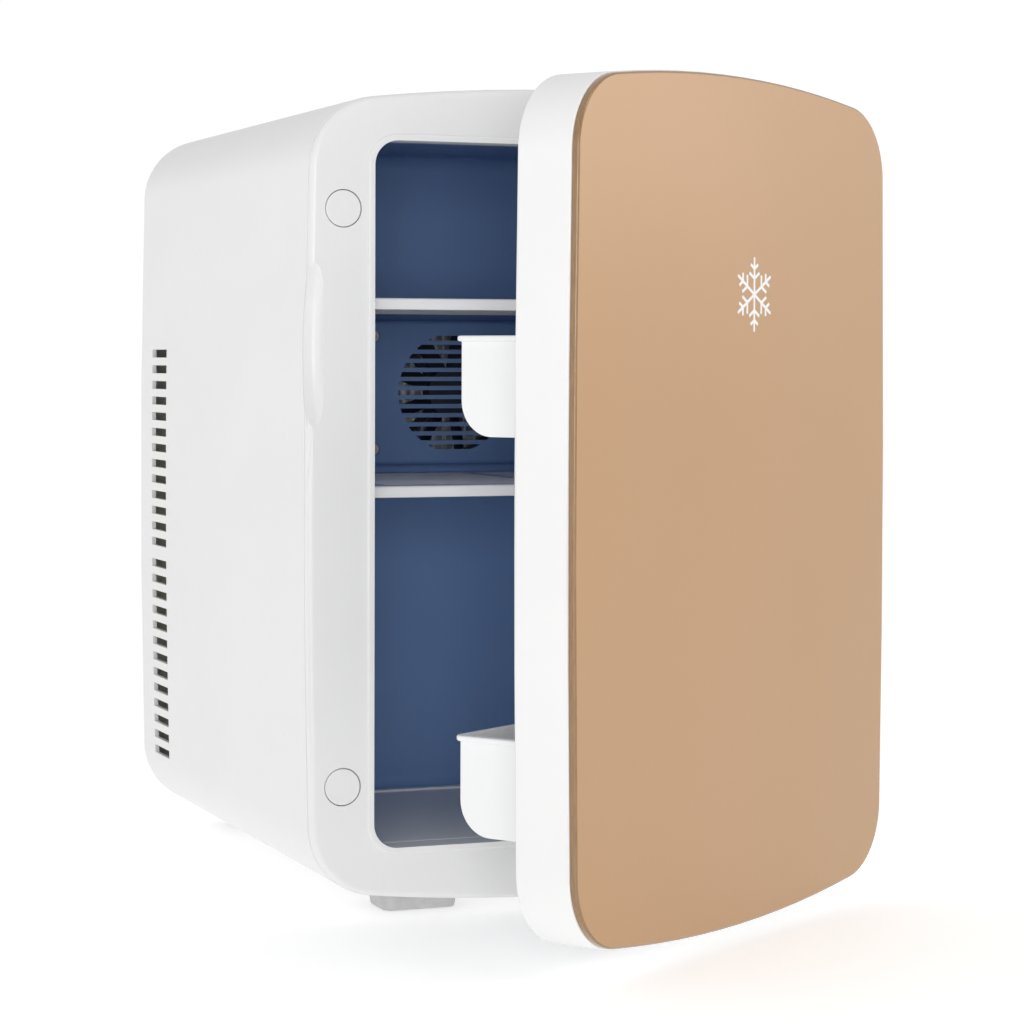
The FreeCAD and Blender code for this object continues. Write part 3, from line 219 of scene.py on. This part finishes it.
def lacquered_glass():
    """Glass plate with a gold pearl lacquer behind it, and a ground, darker edge all round."""
    gold = (0.478, 0.276, 0.128)
    edge = (0.290, 0.172, 0.086)
    finish = Finish("gold_lacquered_glass", Metallic=0.18, Specular_IOR_Level=0.1)
    finish.fix("Coat Weight", 1.0)
    finish.fix("Coat Roughness", 0.25)
    finish.fix("Coat IOR", 1.48)
    cloud = finish.tones(finish.spread(finish.noise(90 * MM)), gold, 0.985, 1.012)
    pearl = finish.between(finish.cells(0.32 * MM), 0.0, 1.0, 0.05, 0.5)
    lacquer = finish.mix(pearl, shade(gold, 1.05), cloud)
    saw = finish.noise(0.6 * MM, detail=3.0, squeeze=(1.0, 1.0, 0.08))
    ground = finish.tones(finish.between(saw, 0.0, 1.0, 0.35, 0.65), edge, 0.9, 1.12)
    front = finish.facing(DOOR_OUT, 0.86, 0.97)
    finish.feed("Base Color", finish.mix(front, ground, lacquer))
    finish.feed("Roughness", finish.spread(finish.noise(0.5 * MM), 0.30, 0.42))
    finish.bump(
        (finish.noise(70 * MM, detail=1.0), 0.012 * MM),
        (finish.noise(0.4 * MM), 0.0015 * MM),
    )
    return finish.material


def frosted_shelf():
    """Milky blue-grey styrene with a white front lip."""
    finish = Finish("frosted_shelf", IOR=1.5, Transmission_Weight=0.06)
    finish.fix("Subsurface Weight", 0.30)
    finish.fix("Subsurface Radius", (1.0, 0.95, 0.9))
    finish.fix("Subsurface Scale", 2.5 * MM)
    cloud = finish.between(finish.noise(30 * MM, detail=3.0), 0.0, 1.0, 0.35, 0.65)
    body = finish.mix(cloud, (0.52, 0.55, 0.70), (0.60, 0.62, 0.76))
    lip = finish.facing(FRONT, 0.25, 0.75)
    finish.feed("Base Color", finish.mix(lip, body, (0.97, 0.97, 0.975)))
    finish.feed("Roughness", finish.spread(finish.noise(3 * MM, detail=3.0), 0.34, 0.46))
    finish.bump((finish.noise(9 * MM, detail=1.0), 0.02 * MM))
    return finish.material


def metal(name, colour, roughness, brushed=(1.0, 1.0, 0.03)):
    """Bare metal with fine lines drawn along one axis, and dull patches."""
    finish = Finish(name, Metallic=1.0)
    lines = finish.noise(0.35 * MM, detail=4.0, roughness=0.7, squeeze=brushed)
    finish.feed("Base Color", finish.tones(finish.spread(lines), colour, 0.86, 1.0))
    dull = finish.spread(finish.noise(7 * MM, detail=3.0), -0.05, 0.07)
    drawn = finish.between(lines, roughness - 0.05, roughness + 0.08)
    finish.feed("Roughness", finish.math("ADD", dull, drawn))
    finish.bump((lines, 0.004 * MM))
    return finish.material


def rubber(name, colour, roughness=0.62):
    """Soft rubber: matt, with a fine tooth and paler rubbed patches."""
    finish = Finish(name, Specular_IOR_Level=0.35)
    patches = finish.noise(6 * MM, detail=4.0, roughness=0.65)
    rubbed = finish.between(patches, 0.0, 1.0, 0.45, 0.75)
    finish.feed("Base Color", finish.tones(rubbed, colour, 1.0, 1.14))
    polish = finish.noise(2 * MM, detail=3.0)
    finish.feed("Roughness", finish.spread(polish, roughness - 0.07, roughness + 0.09))
    finish.bump(
        (finish.noise(5 * MM), 0.02 * MM),
        (finish.noise(0.28 * MM), 0.012 * MM),
    )
    return finish.material


def foam():
    """Cut polyurethane foam: pale yellow, with darker cells."""
    finish = Finish("foam", Subsurface_Weight=0.25, Subsurface_Scale=2 * MM)
    cell = finish.cells(1.3 * MM)
    cloud = finish.spread(finish.noise(40 * MM, detail=3.0))
    skin = finish.mix(cloud, (0.80, 0.70, 0.42), (0.86, 0.78, 0.54))
    hollow = finish.between(cell, 0.0, 0.5, 0.2, 0.7)
    finish.feed("Base Color", finish.mix(hollow, skin, (0.62, 0.52, 0.28)))
    finish.feed("Roughness", finish.between(cell, 0.75, 0.95))
    finish.bump((cell, 0.25 * MM))
    return finish.material


def circuit_board():
    """Green solder mask over a net of raised copper tracks."""
    finish = Finish("circuit_board", Coat_Weight=0.4, Coat_Roughness=0.15)
    tracks = finish.cells(3.2 * MM, feature="DISTANCE_TO_EDGE", squeeze=(1.0, 0.45, 1.0))
    copper = finish.between(tracks, 1.0, 0.0, 0.03, 0.07)
    grain = finish.noise(0.5 * MM)
    mask = finish.mix(finish.spread(grain), (0.012, 0.11, 0.035), (0.016, 0.15, 0.05))
    finish.feed("Base Color", finish.mix(copper, mask, (0.05, 0.24, 0.08)))
    finish.feed("Roughness", finish.between(grain, 0.3, 0.42))
    finish.bump((copper, 0.03 * MM))
    return finish.material


def fired_ceramic(name, colour):
    """Dense fired ceramic: fine pits and a powdery tone."""
    finish = Finish(name)
    powder = finish.noise(4 * MM, detail=4.0)
    patches = finish.between(powder, 0.0, 1.0, 0.35, 0.65)
    finish.feed("Base Color", finish.tones(patches, colour, 0.9, 1.0))
    finish.feed("Roughness", finish.between(powder, 0.55, 0.75))
    finish.bump((finish.cells(0.5 * MM), 0.01 * MM))
    return finish.material


def lens():
    """Green indicator lens, half clear."""
    finish = Finish("lens", Transmission_Weight=0.5, IOR=1.49)
    swirl = finish.noise(1.2 * MM)
    finish.feed("Base Color", finish.mix(swirl, (0.05, 0.50, 0.12), (0.12, 0.70, 0.22)))
    finish.feed("Roughness", finish.between(swirl, 0.08, 0.2))
    finish.bump((swirl, 0.01 * MM))
    return finish.material


def ink(name, colour, metallic):
    """Screen-printed ink: a thin even film with a fine mesh tooth."""
    finish = Finish(name, Metallic=metallic, Coat_Weight=0.3, Coat_Roughness=0.2)
    tooth = finish.noise(0.25 * MM)
    finish.feed("Base Color", finish.tones(tooth, colour, 0.94, 1.0))
    finish.feed("Roughness", finish.between(tooth, 0.32, 0.46))
    finish.bump((tooth, 0.004 * MM))
    return finish.material


BODY_WHITE = (0.830, 0.830, 0.828)
# The bezel's white is a little darker than the body's: painted shade from the open door
BEZEL_WHITE_PAINTED_SHADE = (0.81, 0.81, 0.808)
DOOR_WHITE = (0.84, 0.84, 0.838)
PANEL_WHITE = (0.83, 0.835, 0.84)
BIN_WHITE = (0.88, 0.885, 0.888)
# Painted blue cast: the liner's own colour is grey, and this slate blue stands in for the blue light and shade
# inside
LINER_PAINTED_BLUE_CAST = (0.196, 0.326, 0.600)
BLACK = (0.022, 0.022, 0.024)

# Width and height of the grain that a mould leaves, from the finest to the coarsest
GLOSSY = {"grain": 0.2 * MM, "relief": 0.002 * MM}
POLISHED = {"grain": 0.25 * MM, "relief": 0.003 * MM}
SATIN = {"grain": 0.4 * MM, "relief": 0.008 * MM}
TOOTHED = {"grain": 0.5 * MM, "relief": 0.02 * MM}
COARSE = {"grain": 0.6 * MM, "relief": 0.02 * MM}

MATERIALS = {
    "body_white": moulded("body_white", BODY_WHITE, 0.36, floor_darkening=0.15),
    # Darker than the body's white as painted shade, where the open door shades the front frame
    "bezel_white": moulded("bezel_white", BEZEL_WHITE_PAINTED_SHADE, 0.32, **POLISHED),
    "door_white": moulded("door_white", DOOR_WHITE, 0.30, **POLISHED),
    "panel_white": moulded("panel_white", PANEL_WHITE, 0.34),
    "bin_white": moulded("bin_white", BIN_WHITE, 0.34, **GLOSSY),
    "gold_glass": lacquered_glass(),
    # Its slate blue is a painted blue cast of the light and shade inside the cabinet
    "liner_blue": moulded("liner_blue", LINER_PAINTED_BLUE_CAST, 0.34, **SATIN),
    "tray_grey": moulded("tray_grey", (0.86, 0.865, 0.87), 0.42, **COARSE),
    "shelf_clear": frosted_shelf(),
    "seal_rubber": rubber("seal_rubber", (0.66, 0.66, 0.655), 0.5),
    "foot_grey": rubber("foot_grey", (0.49, 0.49, 0.49), 0.42),
    "foam": foam(),
    "sink_aluminium": metal("sink_aluminium", (0.80, 0.81, 0.82), 0.34),
    "ceramic_white": fired_ceramic("ceramic_white", (0.85, 0.85, 0.82)),
    "gasket_black": rubber("gasket_black", (0.03, 0.03, 0.03)),
    "fan_black": moulded("fan_black", BLACK, 0.42),
    "socket_black": moulded("socket_black", BLACK, 0.48, **TOOTHED),
    "rocker_grey": moulded("rocker_grey", (0.075, 0.075, 0.08), 0.25),
    "lens_green": lens(),
    "tray_dark": moulded("tray_dark", (0.05, 0.05, 0.055), 0.5),
    "board_green": circuit_board(),
    "core_steel": metal("core_steel", (0.36, 0.36, 0.37), 0.42, brushed=(0.05, 1.0, 1.0)),
    "capacitor_dark": moulded("capacitor_dark", (0.03, 0.04, 0.10), 0.22),
    "screw_steel": metal("screw_steel", (0.66, 0.66, 0.67), 0.28, brushed=(1.0, 0.06, 1.0)),
    "pin_steel": metal("pin_steel", (0.72, 0.72, 0.73), 0.16),
    "magnet_dark": fired_ceramic("magnet_dark", (0.09, 0.09, 0.095)),
    "bush_nylon": moulded("bush_nylon", (0.83, 0.82, 0.77), 0.4, glow=0.3),
}


# ---- CAD nodes ------------------------------------------------------------------------

# How far each node's edges are rounded; the round plugs have a wider, softer rim
EDGE_WIDTH = 0.3 * MM
SOFTER_EDGES = {"upper_magnet_cover": 1.2 * MM, "lower_magnet_cover": 1.2 * MM}

# Vertices nearer than WELD are joined, neighbouring faces that turn less than FLAT are
# joined, and edges that turn more than SHARP are rounded
WELD = 0.0005 * MM
FLAT = math.radians(0.5)
SHARP = math.radians(32)


def soften_edges(node, width):
    """Round the node's sharp edges and even out its shading; its own mesh stays as it is."""
    weld = node.modifiers.new("weld", "WELD")
    weld.merge_threshold = WELD
    flat = node.modifiers.new("flat", "DECIMATE")
    flat.decimate_type = "DISSOLVE"
    flat.angle_limit = FLAT
    bevel = node.modifiers.new("bevel", "BEVEL")
    bevel.width = width
    bevel.segments = 2
    bevel.limit_method = "ANGLE"
    bevel.angle_limit = SHARP
    bevel.harden_normals = True
    even = node.modifiers.new("even", "WEIGHTED_NORMAL")
    even.mode = "FACE_AREA"
    even.weight = 100
    even.keep_sharp = True


def dress_nodes():
    """Give every CAD node its material and its rounded edges."""
    slot_of = {part["node"]: part["material_slot"] for part in frame["record"]["subparts"]}
    for name, node in NODES.items():
        node.data.materials.clear()
        node.data.materials.append(MATERIALS[slot_of[name]])
        soften_edges(node, SOFTER_EDGES.get(name, EDGE_WIDTH))


# ---- shared mesh work -----------------------------------------------------------------

def on_door(x, y, z):
    """A place given with the door closed, moved to where the open door holds it."""
    return HINGE + DOOR_ALONG * (x - HINGE.x) - DOOR_OUT * (y - HINGE.y) + UP * z


def closed_box(node):
    """Lowest and highest corner of a door node, measured with the door closed."""
    places = []
    for vertex in NODES[node].data.vertices:
        away = vertex.co - HINGE
        places.append((HINGE.x + away.dot(DOOR_ALONG), HINGE.y - away.dot(DOOR_OUT), vertex.co.z))
    return Vector(map(min, zip(*places))), Vector(map(max, zip(*places)))


def finished_piece(name, build, material, body):
    """Turn the bmesh into a piece that rides on a body."""
    bmesh.ops.recalc_face_normals(build, faces=build.faces)
    mesh = bpy.data.meshes.new(name)
    build.to_mesh(mesh)
    build.free()
    mesh.materials.append(material)
    piece = bpy.data.objects.new(name, mesh)
    bpy.context.scene.collection.objects.link(piece)
    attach(piece, body)
    return piece


# ---- door seal ------------------------------------------------------------------------

SEAL_HALF_WIDTH = 2.1 * MM
SEAL_CORNER = 12 * MM

# The heights of the foot and of a bead's round top, as shares of the seal's depth, and
# how much of its half of the width a bead fills
SEAL_FOOT = 0.45
BEAD_RISE = 0.5
BEAD_FILL = 0.92
BEAD_STEPS = 8


def rounded_loop(low, high, radius, steps=14):
    """Points and outward directions round an upright rounded rectangle, in x and z."""
    loop = []
    corners = (
        (high.x - radius, high.z - radius, 0.0),
        (low.x + radius, high.z - radius, 90.0),
        (low.x + radius, low.z + radius, 180.0),
        (high.x - radius, low.z + radius, 270.0),
    )
    for x, z, start in corners:
        for i in range(steps + 1):
            angle = math.radians(start + 90.0 * i / steps)
            out = (math.cos(angle), math.sin(angle))
            loop.append((x + radius * out[0], z + radius * out[1], out))
    return loop


def seal_profile(depth):
    """Cross-section of the seal: a foot in its groove and two soft beads with a furrow between."""
    bead = SEAL_HALF_WIDTH / 2
    foot = depth * SEAL_FOOT
    points = [(-SEAL_HALF_WIDTH, 0.0), (-SEAL_HALF_WIDTH, foot)]
    for centre in (-bead, bead):
        for i in range(BEAD_STEPS + 1):
            angle = math.radians(180.0 - 180.0 / BEAD_STEPS * i)
            across = BEAD_FILL * bead * math.cos(angle)
            points.append((centre + across, depth * (1.0 - BEAD_RISE + BEAD_RISE * math.sin(angle))))
    return points + [(SEAL_HALF_WIDTH, foot), (SEAL_HALF_WIDTH, 0.0)]


def door_seal():
    """Soft seal round the inner door panel, swept along its rounded path."""
    low, high = closed_box("door_gasket")
    inset = Vector((SEAL_HALF_WIDTH, 0.0, SEAL_HALF_WIDTH))
    path = rounded_loop(low + inset, high - inset, SEAL_CORNER - SEAL_HALF_WIDTH)
    profile = seal_profile(high.y - low.y)
    build = bmesh.new()
    rings = []
    for x, z, (out_x, out_z) in path:
        ring = [build.verts.new(on_door(x + u * out_x, low.y + h, z + u * out_z)) for u, h in profile]
        rings.append(ring)
    for i, ring in enumerate(rings):
        after = rings[(i + 1) % len(rings)]
        for j in range(len(profile)):
            k = (j + 1) % len(profile)
            face = build.faces.new((ring[j], ring[k], after[k], after[j]))
            face.smooth = 0 < j < len(profile) - 1
    seal = finished_piece("door_seal", build, MATERIALS["seal_rubber"], "door")
    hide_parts("door_gasket")


# ---- printed marks --------------------------------------------------------------------

PRINT_HEIGHT = 0.06 * MM

# A snowflake's twigs lean at 60 degrees. Where they leave an arm and how long they are,
# as shares of the arm's reach
TWIGS = ((0.42, 0.30), (0.68, 0.22))
COS_60 = 0.5
SIN_60 = 0.866
TAN_30 = 0.577
TAN_60 = 1.732

# The glass's snowflake: its place, as shares of the glass's width and height, its arms'
# reach and half the width of its strokes
FLAKE_ACROSS = 0.535
FLAKE_UP = 0.745
FLAKE_REACH = 15 * MM
FLAKE_STROKE = 0.62 * MM

# The switch's marks: how far over the switch, how far apart, and their own sizes
MARK_RISE = 5.5 * MM
MARK_STEP = 8.0 * MM
MARK_REACH = 2.9 * MM
MARK_STROKE = 0.16 * MM
DOT_RADIUS = 0.9 * MM
SUN_RADIUS = 1.3 * MM
RAY_START = 1.8 * MM
RAY_STROKE = 0.2 * MM
RAYS = 8


def raise_outline(build, outline, to_place):
    """Closed flat film over a 2-D outline; to_place(u, v, h) gives each point's place."""
    base = [build.verts.new(to_place(u, v, 0.0)) for u, v in outline]
    top = [build.verts.new(to_place(u, v, PRINT_HEIGHT)) for u, v in outline]
    build.faces.new(base)
    build.faces.new(top)
    for i in range(len(outline)):
        j = (i + 1) % len(outline)
        build.faces.new((base[i], base[j], top[j], top[i]))


def turned(points, angle):
    """2-D points turned about the origin."""
    cos, sin = math.cos(angle), math.sin(angle)
    return [(u * cos - v * sin, u * sin + v * cos) for u, v in points]


def snowflake_side(reach, half):
    """One side of an arm, from the valley beside it to its tip; half is a stroke's half width."""
    points = [(half * math.sqrt(3), half)]
    for root_share, length_share in TWIGS:
        root = reach * root_share
        length = reach * length_share
        points.append((root - TAN_30 * half, half))
        points.append((root + COS_60 * length - SIN_60 * half, SIN_60 * length + COS_60 * half))
        points.append((root + COS_60 * length + SIN_60 * half, SIN_60 * length - COS_60 * half))
        points.append((root + TAN_60 * half, half))
    return points + [(reach - half, half)]


def snowflake(reach, half):
    """Outline of a six-armed snowflake."""
    side = snowflake_side(reach, half)
    mirrored = [(u, -v) for u, v in side[1:]]
    arm = mirrored + [(reach, 0.0)] + side[:0:-1] + side[:1]
    outline = []
    for i in range(6):
        outline += turned(arm, math.radians(60 * i + 30))
    return outline


def disc(radius, steps=28):
    """Outline of a round dot."""
    angles = [math.tau * i / steps for i in range(steps)]
    return [(radius * math.cos(angle), radius * math.sin(angle)) for angle in angles]


def ray(start, end, half, angle):
    """Outline of a straight stroke, start to end away from the origin."""
    out = Vector((math.cos(angle), math.sin(angle)))
    along = (out * end - out * start).normalized()
    side = Vector((-along.y, along.x)) * half
    corners = ((start, side), (end, side), (end, -side), (start, -side))
    return [tuple(out * distance + offset) for distance, offset in corners]


def glass_snowflake():
    """Pale snowflake printed on the glass, high and towards the hinge side."""
    low, high = closed_box("door_glass")
    centre_x = low.x + FLAKE_ACROSS * (high.x - low.x)
    centre_z = low.z + FLAKE_UP * (high.z - low.z)
    silver = ink("silver_ink", (0.86, 0.85, 0.84), 0.25)

    def on_glass(u, v, h):
        return on_door(centre_x + u, low.y - h, centre_z + v)

    build = bmesh.new()
    raise_outline(build, snowflake(FLAKE_REACH, FLAKE_STROKE), on_glass)
    finished_piece("glass_snowflake_print", build, silver, "door")


def switch_marks():
    """Snowflake, dot and sun over the mode switch, for cooling, off and warming."""
    low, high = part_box("mode_switch_housing")
    cover_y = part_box("rear_cover")[1].y
    middle = (low.x + high.x) / 2
    height = high.z + MARK_RISE
    grey = ink("grey_ink", (0.20, 0.20, 0.21), 0.0)
    build = bmesh.new()

    def mark(outline, offset):
        def on_cover(u, v, h):
            return Vector((middle + offset + u, cover_y + h, height + v))

        raise_outline(build, outline, on_cover)

    mark(snowflake(MARK_REACH, MARK_STROKE), -MARK_STEP)
    mark(disc(DOT_RADIUS), 0.0)
    mark(disc(SUN_RADIUS), MARK_STEP)
    for i in range(RAYS):
        mark(ray(RAY_START, MARK_REACH, RAY_STROKE, math.tau * i / RAYS), MARK_STEP)
    finished_piece("switch_marks", build, grey, "cabinet")


# ---- surroundings ---------------------------------------------------------------------

# The floor lies a little under the feet, and shines a little, as a lit paper sweep does
FLOOR_RADIUS = 14.0
FLOOR_DROP = 0.4 * MM
FLOOR_GLOW = 0.41

# The dome is dimmest in front of the object. A white band runs round it at the horizon,
# and fades out between the two heights of BAND_TOP.
SKY_LEVEL = 0.72
SKY_LEAN = (-0.04, 0.50, 0.06)
SKY_MOST = 0.80
BAND_LEVEL = 1.03
BAND_TOP = (math.sin(math.radians(9)), math.sin(math.radians(17)))

# Name, place, the point it faces, width and height, and watts
SOFTBOXES = (
    ("front_softbox", (-0.50, -1.35, 0.30), (0.0, -0.1, 0.17), (0.4, 0.4), 3.6),
    ("top_softbox", (0.25, -0.75, 0.85), (0.0, -0.22, 0.22), (0.4, 0.4), 1.0),
    ("side_softbox", (1.60, -0.42, 0.60), (0.0, -0.2, 0.3), (0.6, 0.5), 1.2),
)

# The camera stands to the left of the front, above the cabinet's middle. Its azimuth, dip
# and roll are in radians, its lens and sensor in millimetres, its shift in sensor widths.
CAMERA_PLACE = (-0.46094, -1.24391, 0.23045)
CAMERA_AZIMUTH = 0.3724
CAMERA_DIP = 0.0204
CAMERA_ROLL = 0.0028
CAMERA_LENS = 101.055
CAMERA_SENSOR = 36.0
CAMERA_SHIFT = -0.0968
CAMERA_NEAR = 0.05


def studio_floor():
    """Pale seamless floor, wide enough to reach the white surroundings."""
    mesh = bpy.data.meshes.new("studio_floor")
    build = bmesh.new()
    bmesh.ops.create_circle(build, cap_ends=True, cap_tris=True, segments=96, radius=FLOOR_RADIUS)
    build.to_mesh(mesh)
    build.free()
    floor = bpy.data.objects.new("studio_floor", mesh)
    floor.location.z = -FLOOR_DROP
    bpy.context.scene.collection.objects.link(floor)
    finish = Finish("studio_floor", Emission_Color=(1.0, 1.0, 1.0, 1.0), Emission_Strength=FLOOR_GLOW)
    cloud = finish.noise(0.9, detail=3.0)
    finish.feed("Base Color", finish.mix(cloud, (0.80, 0.80, 0.80), (0.83, 0.83, 0.83)))
    finish.feed("Roughness", finish.between(finish.noise(0.05), 0.6, 0.75))
    finish.bump((finish.noise(1.2 * MM), 0.01 * MM))
    mesh.materials.append(finish.material)


def sky_math(tree, operation, first, second):
    """The result of first and second, which is a number or another node's output."""
    node = tree.nodes.new("ShaderNodeMath")
    node.operation = operation
    tree.links.new(first, node.inputs[0])
    if isinstance(second, float):
        node.inputs[1].default_value = second
    else:
        tree.links.new(second, node.inputs[1])
    return node.outputs["Value"]


def white_surroundings():
    """White dome that leans darker to the front, with the brighter band at its horizon."""
    world = bpy.data.worlds.new("white_surroundings")
    world.use_nodes = True
    tree = world.node_tree
    background = tree.nodes["Background"]
    background.inputs["Color"].default_value = (1.0, 1.0, 1.0, 1.0)
    place = tree.nodes.new("ShaderNodeTexCoord").outputs["Generated"]

    lean = tree.nodes.new("ShaderNodeVectorMath")
    lean.operation = "DOT_PRODUCT"
    lean.inputs[1].default_value = SKY_LEAN
    tree.links.new(place, lean.inputs[0])
    level = sky_math(tree, "ADD", lean.outputs["Value"], SKY_LEVEL)
    dome = sky_math(tree, "MINIMUM", level, SKY_MOST)

    parts = tree.nodes.new("ShaderNodeSeparateXYZ")
    tree.links.new(place, parts.inputs["Vector"])
    band = tree.nodes.new("ShaderNodeMapRange")
    band.interpolation_type = "SMOOTHSTEP"
    band.inputs["From Min"].default_value = BAND_TOP[0]
    band.inputs["From Max"].default_value = BAND_TOP[1]
    band.inputs["To Min"].default_value = BAND_LEVEL
    band.inputs["To Max"].default_value = 0.0
    tree.links.new(parts.outputs["Z"], band.inputs["Value"])

    strength = sky_math(tree, "MAXIMUM", dome, band.outputs["Result"])
    tree.links.new(strength, background.inputs["Strength"])
    bpy.context.scene.world = world


def softbox(name, place, aim, size, power):
    """Rectangular area light that faces a point."""
    light = bpy.data.lights.new(name, "AREA")
    light.shape = "RECTANGLE"
    light.size, light.size_y = size
    light.energy = power
    lamp = bpy.data.objects.new(name, light)
    lamp.location = place
    lamp.rotation_euler = (Vector(aim) - Vector(place)).to_track_quat("-Z", "Y").to_euler()
    bpy.context.scene.collection.objects.link(lamp)


def camera():
    """The scene's camera, from the numbers above."""
    data = bpy.data.cameras.new("camera")
    data.sensor_width = CAMERA_SENSOR
    data.lens = CAMERA_LENS
    data.shift_y = CAMERA_SHIFT
    data.clip_start = CAMERA_NEAR
    ahead = Vector((
        math.sin(CAMERA_AZIMUTH) * math.cos(CAMERA_DIP),
        math.cos(CAMERA_AZIMUTH) * math.cos(CAMERA_DIP),
        -math.sin(CAMERA_DIP),
    ))
    level_right = ahead.cross(UP).normalized()
    level_up = level_right.cross(ahead)
    right = level_right * math.cos(CAMERA_ROLL) + level_up * math.sin(CAMERA_ROLL)
    up = level_up * math.cos(CAMERA_ROLL) - level_right * math.sin(CAMERA_ROLL)
    seen = bpy.data.objects.new("camera", data)
    seen.location = CAMERA_PLACE
    seen.rotation_euler = Matrix((right, up, -ahead)).transposed().to_euler()
    bpy.context.scene.collection.objects.link(seen)
    bpy.context.scene.camera = seen


dress_nodes()
door_seal()
glass_snowflake()
switch_marks()
studio_floor()
white_surroundings()
for box in SOFTBOXES:
    softbox(*box)
camera()
bpy.context.scene.view_settings.view_transform = "Standard"
